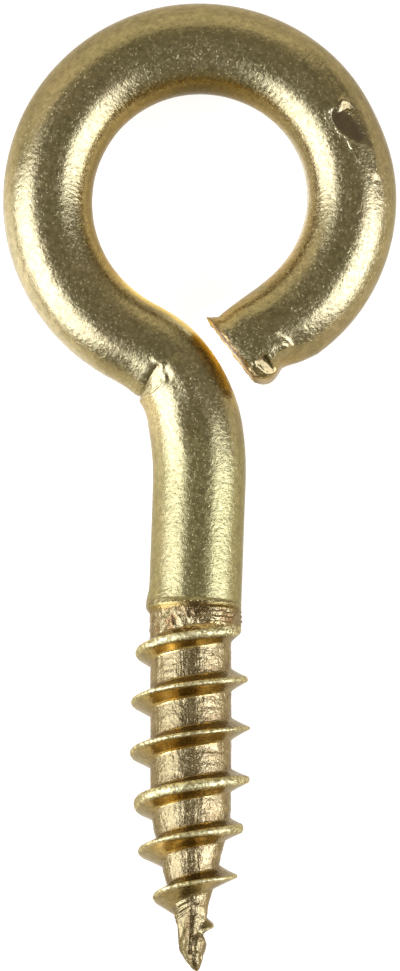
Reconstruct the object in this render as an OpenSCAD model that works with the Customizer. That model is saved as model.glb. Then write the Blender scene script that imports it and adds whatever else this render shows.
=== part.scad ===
// Screw eye: one length of round brass-plated wire, bent into an open eye at one
// end and rolled with a coarse wood-screw thread and a gimlet point at the other.
// Millimetres, +Z up. It lies on its eye and on the crest of its thread, with the
// eye towards +Y and the point towards -Y.

/* [Wire] */
// Diameter of the round wire, along the straight shank
wire_d = 2.84; // [2.7:0.01:2.9]
// How much the wire's radius changes from one bend to the next, as bending draws it
draw = 0.02; // [0.016:0.002:0.024]

/* [Eye] */
// Radius of the eye, to the middle of the wire
eye_r = 4.67; // [4.55:0.01:4.9]
// Where the even part of the eye starts, counted from +X
eye_from = -45; // [-55:1:-35]
// Where the even part of the eye ends and the wire runs down to the neck
eye_to = 150; // [140:1:160]
// Radius of the last stretch before the free end, which is bent less
tail_r = 5.8; // [5.4:0.1:6.4]
// Distance from the middle of the eye to the face of the cut end
cut_reach = 2.35; // [2.1:0.05:2.6]
// Direction that the cut face looks in, counted from +X
cut_dir = 220; // [212:1:226]
// Depth of the nip that the cutter left in the outside of the wire
nip_depth = 0.3; // [0.1:0.05:0.4]

/* [Neck] */
// Radius of the wire as it runs down from the eye
run_r = 4.91; // [4.8:0.01:5.1]
// Turn of that run, in degrees
run_deg = 94; // [90:1:98]
// Radius of the tight bend back into the shank
neck_r = 3.2; // [3:0.05:3.6]
// Turn of the tight bend, in degrees
neck_deg = 51; // [46:1:56]
// Radius of the easy bend after it
ease_r = 8.3; // [7:0.1:10]
// Turn of the easy bend, in degrees
ease_deg = 15; // [11:1:19]
// Straight plain shank between the bends and the thread
shank_l = 3.83; // [3:0.01:6]
// Depth of the crease on the inside of the tight bend
crease_depth = 0.12; // [0.05:0.01:0.2]

/* [Thread] */
// Diameter over the crests of the thread
thread_d = 3.64; // [3.4:0.02:3.8]
// Diameter of the core between the crests
core_d = 2.47; // [2.3:0.01:2.6]
// Distance from one crest to the next
pitch = 1.517; // [1.4:0.001:1.7]
// Length of the thread and point
thread_l = 11.25; // [10.5:0.05:12.5]
// Width of a crest at its foot
rib_foot = 0.74; // [0.6:0.02:0.9]
// Width of the flat on top of a crest
rib_land = 0.12; // [0.06:0.02:0.2]
// How far the core stands off the middle of the wire
core_off = 0.13; // [0:0.01:0.15]

/* [Dent] */
// Depth of the flat that a knock left on the eye
dent_depth = 0.05; // [0.02:0.01:0.1]

/* [Hidden] */
$fn = 96;
wr = wire_d / 2;
// radius of the wire in each stretch: bending thins the eye and swells the neck
tail_w = wr - 2 * draw;
eye_w = wr - draw;
run_w = wr - 2 * draw;
neck_w = wr - draw;
ease_w = wr + draw;

// ---- the bends, followed from the eye down to the thread ----
function left(h) = [-sin(h), cos(h)];
function middle_of(p, h, r) = p + r * left(h);
// r is positive for a bend to the left and negative for one to the right
function bend_end(p, h, r, a) = middle_of(p, h, r) - r * left(h + sign(r) * a);

p1 = eye_r * [cos(eye_to), sin(eye_to)];
h1 = eye_to + 90;
p2 = bend_end(p1, h1, run_r, run_deg);
h2 = h1 + run_deg;
p3 = bend_end(p2, h2, -neck_r, neck_deg);
h3 = h2 - neck_deg;
p4 = bend_end(p3, h3, -ease_r, ease_deg);
h4 = h3 - ease_deg;
p5 = p4 + shank_l * [cos(h4), sin(h4)];

// ---- the thread: radius at a turn angle and a distance down the axis ----
SEG = 20;                 // flats round a turn, and steps along one pitch
step = pitch / SEG;
rows = floor((thread_l - 0.02) / step);
rib_start = 0.74;         // first crest, on the +X side
k = thread_l / 11.25;     // the taper keeps its proportions
core_r = core_d / 2;
rib_r = thread_d / 2;
// core: rolled collar below the shank, even length, taper, slim pilot, point
core_line = [[0, 1.03 * wr], [0.2, 1.03 * wr], [0.4 * k, 0.96 * wr], [0.95 * k, core_r],
             [6.1 * k, core_r], [7.0 * k, 0.9 * core_r], [8.3 * k, 0.67 * core_r],
             [9.1 * k, 0.42 * core_r], [9.8 * k, 0.34 * core_r],
             [10.5 * k, 0.33 * core_r], [11.25 * k, 0.02]];
// crest: grows over the first turn and dies away at the pilot
rib_line = [[0.4 * k, 0.8 * rib_r], [0.7 * k, 0.85 * rib_r], [1.5 * k, 0.93 * rib_r],
            [3.0 * k, rib_r], [5.3 * k, rib_r], [6.1 * k, 0.95 * rib_r],
            [7.5 * k, 0.88 * rib_r], [8.3 * k, 0.77 * rib_r], [9.0 * k, 0.65 * rib_r],
            [9.85 * k, 0.38 * rib_r], [10.2 * k, 0.2 * rib_r]];
function off_crest(f, t) =
    let (u = (t - rib_start) / pitch - f / 360) (u - round(u)) * pitch;
function rib_at(f, t) =
    let (d = off_crest(f, t), c = lookup(t, core_line),
         top = max(c, lookup(t - d, rib_line)),
         foot = rib_foot / 2, land = rib_land / 2,
         s = max(0, min(1, (foot - abs(d)) / (foot - land))))
    c + (top - c) * s;
// the core stands a little off the shank's middle, and the slim point leans back
function lean(t) =
    lookup(t, [[0, core_off], [0.2, core_off], [0.7, 0], [0.9 * thread_l, 0],
               [0.96 * thread_l, 0.02], [thread_l, 0.1]]);
function thread_point(i, j) =
    let (f = 360 * i / SEG, t = j * step, r = rib_at(f, t))
    [r * cos(f) + lean(t), r * sin(f), t];

thread_grid = [for (j = [0:rows]) for (i = [0:SEG - 1]) thread_point(i, j)];
count = (rows + 1) * SEG;

// ---- how it lies: the tilt at which eye and thread touch the floor together ----
axis_x = p5[0] - core_off;
far_y = eye_r;
function touch(y, z) =
    let (a = far_y - y, t = -z) atan2(t, a) - asin(eye_w / norm([a, t]));
tilt = max([for (q = thread_grid) if (q[1] < -wr) touch(p5[1] - q[2], q[1])]);
lift = eye_w + eye_r * sin(tilt);
// middle of the box that the object fills
run_mid = middle_of(p1, h1, run_r);
box_x = (eye_r + eye_w + run_mid[0] - run_r - run_w) / 2;
tip_y = (p5[1] - thread_l) * cos(tilt);
box_y = (eye_r * cos(tilt) + eye_w + tip_y) / 2;

// one bend: it starts at p with heading h; the thinner of two stretches runs on into
// its thicker neighbour by a tenth of a millimetre, at its start, its end or both
module bend(p, h, r, a, w, before = 0, after = 0) {
    m = middle_of(p, h, r);
    b = before / abs(r) * 180 / PI;
    f = after / abs(r) * 180 / PI;
    translate([m[0], m[1], 0])
        rotate([0, 0, r > 0 ? h - 90 - b : h + 90 - a - f])
            rotate_extrude(angle = a + b + f)
                translate([abs(r), 0]) circle(r = w);
}

module eye_ring() {
    rotate([0, 0, eye_from])
        rotate_extrude(angle = eye_to - eye_from)
            translate([eye_r, 0]) circle(r = eye_w);
    // the tail, sheared off to a face and nipped by the cutter
    difference() {
        translate((eye_r - tail_r) * [cos(eye_from), sin(eye_from), 0])
            rotate([0, 0, eye_from - 40])
                rotate_extrude(angle = 41)
                    translate([tail_r, 0]) circle(r = tail_w);
        // the cut face
        rotate([0, 0, cut_dir])
            translate([cut_reach, -8, -3]) cube([6, 16, 6]);
        // the inside is pressed to a straight line
        translate([0.237, -3.75, 0]) rotate([0, 0, 36])
            translate([-1, 0, -3]) cube([3.1, 2, 6]);
        // the nip on the outside
        translate([2.43 + 0.54 * cos(-57), -4.93 + 0.3 - nip_depth + 0.54 * sin(-57) - 0.27, -3])
            cylinder(r = 0.54, h = 6);
    }
}

module neck_and_shank() {
    bend(p1, h1, run_r, run_deg, run_w, before = 0.1, after = 0.1);
    bend(p2, h2, -neck_r, neck_deg, neck_w, after = 0.1);
    bend(p3, h3, -ease_r, ease_deg, ease_w);
    translate([p4[0], p4[1], 0])
        rotate([0, 0, h4]) rotate([0, 90, 0])
            translate([0, 0, -0.1]) cylinder(d = wire_d, h = shank_l + 0.18);
}

// one closed skin: helical crests, core and point
module thread() {
    faces = concat(
        [[for (i = [0:SEG - 1]) i]],
        [for (j = [0:rows - 1]) for (i = [0:SEG - 1])
            let (n = (i + 1) % SEG, a = j * SEG)
            each [[a + i, a + SEG + i, a + SEG + n], [a + i, a + SEG + n, a + n]]],
        [for (i = [0:SEG - 1]) [rows * SEG + i, count, rows * SEG + (i + 1) % SEG]]);
    translate([axis_x, p5[1], 0]) rotate([90, 0, 0])
        polyhedron(points = concat(thread_grid, [[0.1, 0, thread_l]]), faces = faces);
}

// the crease where the inside of the tight bend folded: a V round a quarter of the wire
module crease() {
    a = 0.45 * neck_deg;
    c = bend_end(p2, h2, -neck_r, a);
    translate([c[0], c[1], 0]) rotate([0, 0, h2 - a]) rotate([0, 90, 0])
        rotate([0, 0, 180]) rotate_extrude(angle = 95)
            polygon([[neck_w - crease_depth, 0], [neck_w + 0.2, 0.16], [neck_w + 0.2, -0.16]]);
}

// the flat that a knock left on the upper side of the eye
module dent() {
    rotate([0, 0, 27])
        translate([eye_r, 0, 0]) rotate([0, 14, 0])
            translate([-1, -1.2, eye_w - dent_depth]) cube([2, 2.4, 1]);
}

module screw_eye() {
    color([0.80, 0.70, 0.38])
        translate([-box_x, -box_y, lift]) rotate([-tilt, 0, 0])
            union() {
                difference() {
                    union() {
                        eye_ring();
                        neck_and_shank();
                    }
                    dent();
                    crease();
                }
                thread();
            }
}

screw_eye();
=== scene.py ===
"""Looks for the screw eye: one closed mesh along the wire, a procedural brass with painted reflections, highlights and
shade, a pale glowing floor with painted pools of light.
"""

import math

import bmesh
import bpy
import numpy as np
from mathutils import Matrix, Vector


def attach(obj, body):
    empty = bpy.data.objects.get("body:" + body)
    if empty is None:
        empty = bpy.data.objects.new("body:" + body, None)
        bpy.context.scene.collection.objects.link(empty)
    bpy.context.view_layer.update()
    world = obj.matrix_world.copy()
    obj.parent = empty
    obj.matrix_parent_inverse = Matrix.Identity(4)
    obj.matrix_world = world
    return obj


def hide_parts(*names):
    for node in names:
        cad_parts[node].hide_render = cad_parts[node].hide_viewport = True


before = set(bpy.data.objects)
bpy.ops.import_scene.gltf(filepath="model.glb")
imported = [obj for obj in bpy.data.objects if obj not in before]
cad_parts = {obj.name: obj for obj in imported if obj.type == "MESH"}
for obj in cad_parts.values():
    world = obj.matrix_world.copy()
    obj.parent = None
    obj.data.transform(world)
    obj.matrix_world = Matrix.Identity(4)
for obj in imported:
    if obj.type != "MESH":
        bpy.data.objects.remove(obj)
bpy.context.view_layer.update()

# ------------------------------------------------------------------ sizes, in mm
WIRE_R = 1.42           # the straight shank
EYE_R = 4.67            # middle of the wire
RUN_R, RUN_DEG = 4.91, 94.0
NECK_R, NECK_DEG = 3.2, 51.0
EASE_R, EASE_DEG = 8.3, 15.0
SHANK_L = 3.83
EYE_TO = 150.0
TAIL_FROM = -53.8       # where the wire starts to be squeezed towards the cut
CORE_OFF = 0.13
PITCH = 1.517
RIB_START = 0.74
THREAD_L = 11.25
# how it lies
TILT = math.radians(1.16262)
LIFT = 1.49476
BOX_X, BOX_Y = -0.00607695, -8.92492

N = 128                 # points round the wire

# ------------------------------------------------------------------ small helpers


def smooth(a, b, x):
    """0 below a, 1 above b, smooth between (b may be below a)"""
    t = np.clip((np.asarray(x, float) - a) / (b - a), 0, 1)
    return t * t * (3 - 2 * t)


def hump(x, c, w):
    return np.exp(-(((np.asarray(x, float) - c) / w) ** 2))


def turn(a):
    """an angle brought to -180..180"""
    return (np.asarray(a, float) + 180.0) % 360.0 - 180.0


def spline(x, xs, ys):
    """a smooth line through given points, flat beyond both ends"""
    xs, ys = np.asarray(xs, float), np.asarray(ys, float)
    x = np.clip(np.asarray(x, float), xs[0], xs[-1])
    d = np.diff(ys) / np.diff(xs)
    m = np.empty_like(ys)
    m[0], m[-1] = d[0], d[-1]
    m[1:-1] = np.where(d[:-1] * d[1:] > 0, 2 * d[:-1] * d[1:] / np.where(d[:-1] + d[1:] == 0, 1, d[:-1] + d[1:]), 0)
    k = np.clip(np.searchsorted(xs, x) - 1, 0, len(xs) - 2)
    h = xs[k + 1] - xs[k]
    t = (x - xs[k]) / h
    return ((2 * t**3 - 3 * t**2 + 1) * ys[k] + (t**3 - 2 * t**2 + t) * h * m[k]
            + (-2 * t**3 + 3 * t**2) * ys[k + 1] + (t**3 - t**2) * h * m[k + 1])


def lattice(ix, iy, iz, seed):
    """repeatable values in -1..1 on whole-number points"""
    n = (ix.astype(np.int64) * 374761393 + iy.astype(np.int64) * 668265263
         + iz.astype(np.int64) * 2147483647 + seed * 1274126177) & 0xFFFFFFFF
    n = ((n ^ (n >> 13)) * 1274126177) & 0xFFFFFFFF
    n = ((n ^ (n >> 16)) * 2246822519) & 0xFFFFFFFF
    n = n ^ (n >> 15)
    return (n & 0xFFFFFF) / float(0x7FFFFF) - 1.0


def noise(p, scale, seed=0):
    """smooth value noise, -1..1; p is (n, 3) in mm, scale is the size of a cell in mm"""
    q = np.asarray(p, float) / np.asarray(scale, float)
    i = np.floor(q).astype(np.int64)
    f = q - i
    f = f * f * (3 - 2 * f)
    out = 0.0
    for dx in (0, 1):
        for dy in (0, 1):
            for dz in (0, 1):
                w = ((f[:, 0] if dx else 1 - f[:, 0]) * (f[:, 1] if dy else 1 - f[:, 1])
                     * (f[:, 2] if dz else 1 - f[:, 2]))
                out = out + w * lattice(i[:, 0] + dx, i[:, 1] + dy, i[:, 2] + dz, seed)
    return out


# ------------------------------------------------------------------ the wire's middle line
def polar(r, a):
    return np.array([r * math.cos(math.radians(a)), r * math.sin(math.radians(a))])


def left_of(h):
    return np.array([-math.sin(math.radians(h)), math.cos(math.radians(h))])


def middle_line(step=0.02):
    pts = []
    for a in np.arange(TAIL_FROM, EYE_TO, math.degrees(step / EYE_R)):
        pts.append(polar(EYE_R, a))
    p, h = polar(EYE_R, EYE_TO), EYE_TO + 90
    for r, deg in ((RUN_R, RUN_DEG), (-NECK_R, NECK_DEG), (-EASE_R, EASE_DEG)):
        c = p + r * left_of(h)
        for a in np.arange(0, deg, math.degrees(step / abs(r))):
            pts.append(c - r * left_of(h + math.copysign(a, r)))
        p = c - r * left_of(h + math.copysign(deg, r))
        h += math.copysign(deg, r)
    start = p
    way = np.array([math.cos(math.radians(h)), math.sin(math.radians(h))])
    for d in np.arange(0, SHANK_L, step):
        pts.append(start + d * way)
    pts.append(start + SHANK_L * way)
    return np.array(pts), start + SHANK_L * way, start


LINE, P5, P4 = middle_line()
seg = np.linalg.norm(np.diff(LINE, axis=0), axis=1)
keep = np.concatenate([[True], seg > 1e-4])
LINE = LINE[keep]
S = np.concatenate([[0], np.cumsum(np.linalg.norm(np.diff(LINE, axis=0), axis=1))])
# even steps, then rounded off where two bends meet
s_even = np.linspace(0, S[-1], int(S[-1] / 0.02) + 1)
line = np.stack([np.interp(s_even, S, LINE[:, k]) for k in (0, 1)], 1)
sig = 0.22 / (s_even[1] - s_even[0])
half = int(3 * sig)
kern = np.exp(-0.5 * (np.arange(-half, half + 1) / sig) ** 2)
kern /= kern.sum()
padded = np.concatenate([2 * line[0] - line[half:0:-1], line, 2 * line[-1] - line[-2:-half - 2:-1]])
rounded = np.stack([np.convolve(padded[:, k], kern, "valid") for k in (0, 1)], 1)
tangent = np.gradient(rounded, s_even, axis=0)
tangent /= np.linalg.norm(tangent, axis=1)[:, None]
S_END = s_even[-1]


def at(s):
    p = np.stack([np.interp(s, s_even, rounded[:, k]) for k in (0, 1)], -1)
    t = np.stack([np.interp(s, s_even, tangent[:, k]) for k in (0, 1)], -1)
    t /= np.linalg.norm(t, axis=-1)[..., None]
    return p, t


def s_of_eye(a):
    """length along the wire at a polar angle of the eye"""
    return (a - TAIL_FROM) * math.pi / 180 * EYE_R


S_RUN = s_of_eye(EYE_TO)
S_NECK = S_RUN + RUN_R * math.radians(RUN_DEG)
S_EASE = S_NECK + NECK_R * math.radians(NECK_DEG)
S_SHANK = S_EASE + EASE_R * math.radians(EASE_DEG)

# radius along the wire: bending thins the eye and swells the neck
R_AT = ([0.0, 1.2, s_of_eye(30), s_of_eye(90), S_RUN, S_RUN + 3, S_RUN + 6.5, S_NECK, S_NECK + 1.0,
         S_EASE - 0.5, S_EASE + 0.6, S_SHANK, S_SHANK + 1.5, S_END],
        [1.378, 1.397, 1.378, 1.405, 1.393, 1.38, 1.362, 1.34, 1.352, 1.385, 1.437, 1.425, 1.42, 1.42])

# ------------------------------------------------------------------ rows of the wire part
row_s = []
s = 0.0
while s < S_END - 0.03:
    row_s.append(s)
    fine = 0.15
    if S_NECK - 0.4 < s < S_NECK + 3.6:
        fine = 0.08
    if S_NECK + 0.75 < s < S_NECK + 2.0:
        fine = 0.04
    if s_of_eye(2) < s < s_of_eye(38):
        fine = 0.08
    if s_of_eye(15.5) < s < s_of_eye(34.5):
        fine = 0.04
    if s > S_END - 0.45:
        fine = 0.04
    s += fine
row_s = np.array(row_s)
ang = np.arange(N) * 2 * math.pi / N      # 0 is outward of the eye (right of travel), 90 is up


def wire_rows(sv):
    """points (rows, N, 3) in the flat frame, and each row's sideways direction"""
    p, t = at(sv)
    n = np.stack([t[:, 1], -t[:, 0]], 1)          # right of travel
    r = spline(sv, *R_AT)[:, None] * np.ones(N)
    ca, sa = np.cos(ang), np.sin(ang)
    deg = np.degrees(ang)[None, :]
    S2 = sv[:, None] * np.ones(N)
    flat = np.stack([p[:, 0, None] + n[:, 0, None] * r * ca, p[:, 1, None] + n[:, 1, None] * r * ca], 2)
    # long, shallow waves left by drawing and bending
    q = np.stack([S2.ravel(), (r * ca).ravel(), (r * sa).ravel()], 1)
    bent = 1 - smooth(S_SHANK - 0.5, S_SHANK + 1.5, S2)
    r = r + 0.004 * noise(q, (1.4, 1.0, 1.0), 3).reshape(r.shape) * (0.4 + 0.6 * bent)
    # the inside of a bend wrinkles a little across the wire
    inner = smooth(-0.35, -0.85, ca)[None, :] * (S2 < S_NECK - 0.5) + smooth(0.35, 0.85, ca)[None, :] * (
        (S2 > S_NECK) & (S2 < S_SHANK))
    r = r + 0.0035 * noise(q, (0.16, 0.9, 0.9), 5).reshape(r.shape) * inner
    # outer side pressed a little flat near the knock
    pol = S2 / EYE_R * 180 / math.pi + TAIL_FROM
    r = r - 0.05 * hump(pol, 24, 13) * smooth(0.55, 1.0, ca)[None, :] * (S2 < s_of_eye(60))
    # the crease inside the tight bend
    a_side = turn(deg - 0.0)                      # 0 on the crease's side of the wire, 90 on top
    sg = S2 - S_NECK
    c_line = np.interp(a_side, [-90, 20, 36, 53, 67, 76, 84], [1.38, 1.38, 1.33, 1.20, 1.12, 1.11, 1.11])
    r_line = np.interp(a_side, [-90, 5, 22, 33, 46, 59, 70, 75.5, 82], [1.58, 1.56, 1.58, 1.65, 1.73, 1.70, 1.60, 1.42, 1.24])
    up = smooth(-112, -80, a_side) * smooth(80.5, 72, a_side)
    deep = 0.115 * up * (0.85 + 0.15 * smooth(5, 45, a_side))
    before = np.exp(-np.maximum(c_line - sg, 0) / 0.24)
    after = np.clip(1 - (sg - c_line) / (r_line - c_line), 0, 1)
    r = r - deep * np.where(sg < c_line, before, after)
    r = r - 0.035 * up * np.exp(-((sg - c_line) / 0.045) ** 2)
    # a bead of metal along the facet's far edge, and a short second fold above it
    r = r - 0.046 * np.exp(-((sg - r_line) / 0.035) ** 2) * smooth(14, 30, a_side) * smooth(82, 74, a_side)
    r = r + 0.012 * up * np.exp(-((sg - r_line - 0.10) / 0.06) ** 2) * smooth(15, 35, a_side)
    r = r - 0.034 * np.exp(-((a_side - 80.0 + 9.3 * (sg - 1.33)) / 2.8) ** 2) * smooth(1.22, 1.36, sg) * smooth(1.90, 1.65, sg)
    r = r + 0.02 * hump(sg, 1.0, 0.22) * hump(a_side, 72, 16)
    r = r + 0.065 * hump(a_side, 94, 9.5) * smooth(1.15, 1.42, sg) * smooth(3.2, 2.2, sg)
    r = r - 0.03 * hump(S2, S_EASE + 0.55, 0.75) * hump(a_side, 86, 13)
    # a long flat beyond the knock, with the metal it pushed outward
    r = r + 0.036 * hump(deg, 56, 6.5) * smooth(4.2, 5.3, pol) * smooth(20, 15, pol)
    r = r + 0.012 * hump(deg, 60, 8) * hump(pol, 2.8, 1.3)
    # collar: rolled bulge on the left just above the thread
    r = r + 0.085 * hump(S2, S_END - 0.02, 0.33) * smooth(75, 20, np.abs(a_side))
    # the points; the knock is pressed in later
    pts = np.stack([p[:, 0, None] + n[:, 0, None] * r * ca, p[:, 1, None] + n[:, 1, None] * r * ca,
                    r * sa * np.ones_like(r)], 2)
    return pts, n


def knock(pts):
    """a flat pressed into the upper right of the eye, with its raised lip"""
    c = np.array([4.555, 2.035, 1.352])
    u = np.array([0.755, -0.656, 0.0])
    lean = math.radians(11.5)
    er = np.array([math.cos(math.radians(24.1)), math.sin(math.radians(24.1)), 0.0])
    nz = er * math.sin(lean) + np.array([0, 0, math.cos(lean)])
    u = u - nz * u.dot(nz)
    u /= np.linalg.norm(u)
    v = np.cross(nz, u)                           # towards the outside's upper right
    d = pts - c
    x, y, h = d @ u, d @ v, d @ nz
    near = (np.abs(x) < 2.4) & (np.abs(y) < 1.6) & (h > -1.0)
    rough_edge = noise(np.stack([x, y, h], -1).reshape(-1, 3), 0.09, 11).reshape(x.shape)
    # a long oval, blunt above and pointed at its lower end
    y0 = y + 0.02
    e = np.sqrt((x / 0.70) ** 2 + (y0 / 0.30) ** 2) * (1 + 0.05 * rough_edge)
    soft = np.maximum(smooth(-0.08, 0.16, y0), smooth(0.20, 0.60, x))      # it fades away on its right
    inside = smooth(1.07 + 0.22 * soft, 0.95 - 0.25 * soft, e * (1 + 0.10 * soft * rough_edge))
    plane = -0.050 + 0.012 * x + 0.03 * y + 0.003 * rough_edge
    sink = np.where(near, np.maximum(h - plane, 0.0) * inside, 0)
    rim_low = smooth(0.05, -0.12, y0)             # the side towards the middle of the eye
    lip = np.where(near, hump(e, 1.17, 0.09) * (0.006 + 0.026 * rim_low) * smooth(0.30, -0.05, x) * (1 + 0.4 * rough_edge), 0)
    # metal heaped up beyond its upper end
    lip = lip + np.where(near, 0.030 * hump(x, -0.55, 0.20) * hump(y, 0.50, 0.16) * (1 + 0.4 * rough_edge), 0)
    lip = lip + np.where(near, 0.016 * hump(x, -0.72, 0.05) * hump(y, 0.10, 0.06), 0)
    # a scratch that runs on from its lower edge
    scr = np.where(near, np.exp(-((y + 0.42 + 0.37 * (x - 0.31) + 0.012 * np.sin(9 * x)) / 0.028) ** 2)
                   * smooth(0.15, 0.3, x) * smooth(1.15, 0.95, x), 0)
    out = pts - (sink - lip - 0.008 * scr)[..., None] * nz
    # the heap's bright face
    w = near * smooth(1.2, 0.75, np.sqrt(((x + 0.50) / 0.23) ** 2 + ((y - 0.45) / 0.16) ** 2) * (1 + 0.5 * rough_edge))
    face = 1.29 - 0.582 * (out[..., 0] - 4.452) + 0.246 * (out[..., 1] - 2.695) + 0.030 * rough_edge
    out[..., 2] = out[..., 2] * (1 - w) + face * w
    mask = np.clip(inside * near, 0, 1)
    # painted highlight along the lip's lower side and the scratch
    bright = np.clip((hump(e, 1.15, 0.08) * rim_low + 0.8 * scr) * near, 0, 1)
    return out, mask, bright, w


wire_pts, wire_n = wire_rows(row_s)
wire_pts, knock_mask, wire_lip, heap = knock(wire_pts)

# ------------------------------------------------------------------ tail: squeezed and sheared
# inside and outside edges of the last stretch, from the cut back to the eye
TAIL_IN = np.array([[0.237, -3.684], [0.36, -3.72], [0.516, -3.735], [0.70, -3.60], [0.88, -3.46], [1.04, -3.34],
                    [1.21, -3.21], [1.46, -3.02], [1.73, -2.815], [1.93, -2.655]])
TAIL_OUT = np.array([[1.72, -5.70], [1.965, -5.774], [2.17, -5.72], [2.34, -5.57], [2.45, -5.40], [2.54, -5.27],
                     [2.70, -5.20], [3.02, -5.115], [3.31, -5.00], [3.585, -4.87]])
knots = np.arange(10.0)


def tail_rows(uv):
    """uv: 0 at the cut, 9 where the even wire starts; points (rows, N, 3)"""
    i = np.stack([spline(uv, knots, TAIL_IN[:, k]) for k in (0, 1)], 1)
    o = np.stack([spline(uv, knots, TAIL_OUT[:, k]) for k in (0, 1)], 1)
    # the last row meets the eye's first row exactly
    p0, t0 = at(np.array([0.0]))
    n0 = np.stack([t0[:, 1], -t0[:, 0]], 1)
    r0 = float(spline(0.0, *R_AT))
    w = smooth(6.0, 9.0, uv)[:, None]
    i = i * (1 - w) + w * (i + (p0 - n0 * r0) - np.array([spline(9.0, knots, TAIL_IN[:, k]) for k in (0, 1)]))
    o = o * (1 - w) + w * (o + (p0 + n0 * r0) - np.array([spline(9.0, knots, TAIL_OUT[:, k]) for k in (0, 1)]))
    mid, arm = (i + o) / 2, (o - i) / 2
    ca, sa = np.cos(ang), np.sin(ang)
    tall = spline(uv, [0, 1.0, 2.5, 4.5, 7, 9], [1.30, 1.36, 1.39, 1.40, 1.385, r0])
    # squeezed sections are a little square, most of all on the outside
    k = (0.16 * smooth(8.0, 4.5, uv) * smooth(0.0, 2.0, uv))[:, None]
    bulge = 1 + k * (np.abs(ca * sa) * 2) ** 2 * np.where(ca > 0, 0.55, 0.35)
    x = ca * bulge
    z = sa * bulge
    pts = np.stack([mid[:, 0, None] + arm[:, 0, None] * x, mid[:, 1, None] + arm[:, 1, None] * x,
                    tall[:, None] * z], 2)
    return pts, mid, arm


tail_u = np.concatenate([np.linspace(0, 1.0, 7)[:-1], np.linspace(1.0, 9.0, 40)[:-1]])
tail_pts, tail_mid, tail_arm = tail_rows(tail_u)


# marks of the cutter: the outer shoulder pressed down, with a bright edge on each side of the press
def nip_marks(pts):
    x, y, z = pts[..., 0], pts[..., 1], pts[..., 2]
    up = smooth(0.0, 0.5, z)
    a = (x - 2.2) * 0.829 + (y + 4.05) * 0.559       # along the wire, away from the cut
    b = (x - 2.2) * 0.559 - (y + 4.05) * 0.829       # outward
    q = np.stack([a, b, z], -1).reshape(-1, 3)
    wav = 0.03 * noise(q, 0.14, 13).reshape(x.shape) + 0.025 * noise(q, 0.07, 14).reshape(x.shape)
    # a burr that rises towards the cut, and falls away again behind it
    e1 = -0.10 + 0.29 * (b - 0.33)
    burr = smooth(e1 + 0.13, e1 - 0.11, a + wav) * smooth(e1 - 1.05, e1 - 0.15, a)
    z2 = z + (0.055 + 0.11 * smooth(0.45, 0.90, b)) * burr * smooth(0.12, 0.42, b) * smooth(1.10, 0.94, b) * up
    # the outer shoulder beside it, sheared off smooth and steep
    shear = smooth(0.94, 1.06, b) * smooth(-0.50, -0.36, a) * smooth(e1 + 0.13, e1 + 0.02, a) * up
    z2 = z2 - 0.060 * shear
    # the end swells into a flat-topped lobe with a bright slope towards the nip
    e2 = -0.854 + 0.54 * (b - 1.04)
    shelf = np.clip(1.10 - 0.55 * (b - 0.70) - z, 0, 0.30) * smooth(0.72, 0.90, b) * smooth(1.42, 1.26, b)
    z2 = z2 + shelf * smooth(e2 + 0.30, e2 + 0.02, a) * up
    z2 = z2 + 0.075 * smooth(e2 + 0.15, e2 - 0.15, a + wav) * smooth(e2 - 0.62, e2 - 0.2, a) * smooth(
        0.66, 0.86, b) * smooth(1.44, 1.26, b) * up
    a_c = -0.88 + 0.15 * (b - 1.0)
    w = smooth(0.66, 0.78, b) * smooth(1.34, 1.22, b) * smooth(-0.27, -0.12, a - a_c + wav) * smooth(
        0.20, 0.08, a - a_c + wav) * up
    z2 = z2 * (1 - w) + (0.97 - 0.582 * (x - 2.096) + 0.246 * (y + 5.326) + 0.80 * wav) * w
    return np.stack([x, y, z2], -1), np.clip(shear, 0, 1), w


tail_pts, nip_mask, nip_face = nip_marks(tail_pts)

# the sheared face leans back from its lower edge, so the top rows step back along the wire
CUT = np.array([math.cos(math.radians(217.5)), math.sin(math.radians(217.5)), 0.0])


def set_back(pts, amount):
    z = pts[..., 2]
    d = -0.065 * smooth(-0.9, 1.2, z) - 0.02
    d = d + 0.04 * hump(z, -1.2, 0.35)
    return pts - (d * amount)[..., None] * CUT


fall = smooth(2.2, 0.0, tail_u)[:, None] * np.ones(N)
tail_pts = set_back(tail_pts, fall)
# burr that the shear drew out round the face
q = np.stack([np.degrees(ang) / 9.0, np.zeros(N), np.zeros(N)], 1)
ragged = 0.6 * noise(q, 1.0, 21) + 0.4 * noise(q * 2.6, 1.0, 22)
lipn = smooth(0.9, 0.0, tail_u)[:, None] * (0.030 * ragged)[None, :]
tail_pts = tail_pts + lipn[..., None] * CUT
tail_mm = -(9.0 - tail_u) * 0.24

# ------------------------------------------------------------------ end face: rings from the rim to its middle
rim = tail_pts[0]
rings = 22
cap = []
centre = rim.mean(0)
for j in range(1, rings):
    f = 1 - j / rings
    ring = centre + (rim - centre) * f
    bowl = 0.03 * (1 - f ** 2)
    z = ring[:, 2]
    g = noise(np.stack([ring @ np.array([0.61, -0.79, 0]) * 1.0, z, np.zeros(N)], 1), (0.11, 0.9, 1.0), 31)
    g2 = noise(np.stack([ring @ np.array([0.61, -0.79, 0]), z, np.zeros(N)], 1), (0.3, 0.3, 1.0), 32)
    grain = (0.022 * g + 0.02 * g2) * smooth(1.0, 0.93, f)
    cap.append(ring + (bowl + grain)[:, None] * CUT)
cap = np.array(cap)
cap_tip = centre + 0.03 * CUT

# ------------------------------------------------------------------ thread, on a grid that follows the helix
AXIS_X = P5[0] - CORE_OFF
CREST_FIX = ([-1.0, 0.0, 0.5, 1.0, 1.5, 2.0, 2.5, 3.0, 3.5, 4.0, 4.5, 5.0, 5.5, 6.0, 8.0],
             [0.0, 0.0, -0.05, 0.006, -0.04, -0.007, 0.007, 0.06, 0.065, 0.04, -0.005, -0.004, -0.085, 0.007, 0.0])
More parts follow.
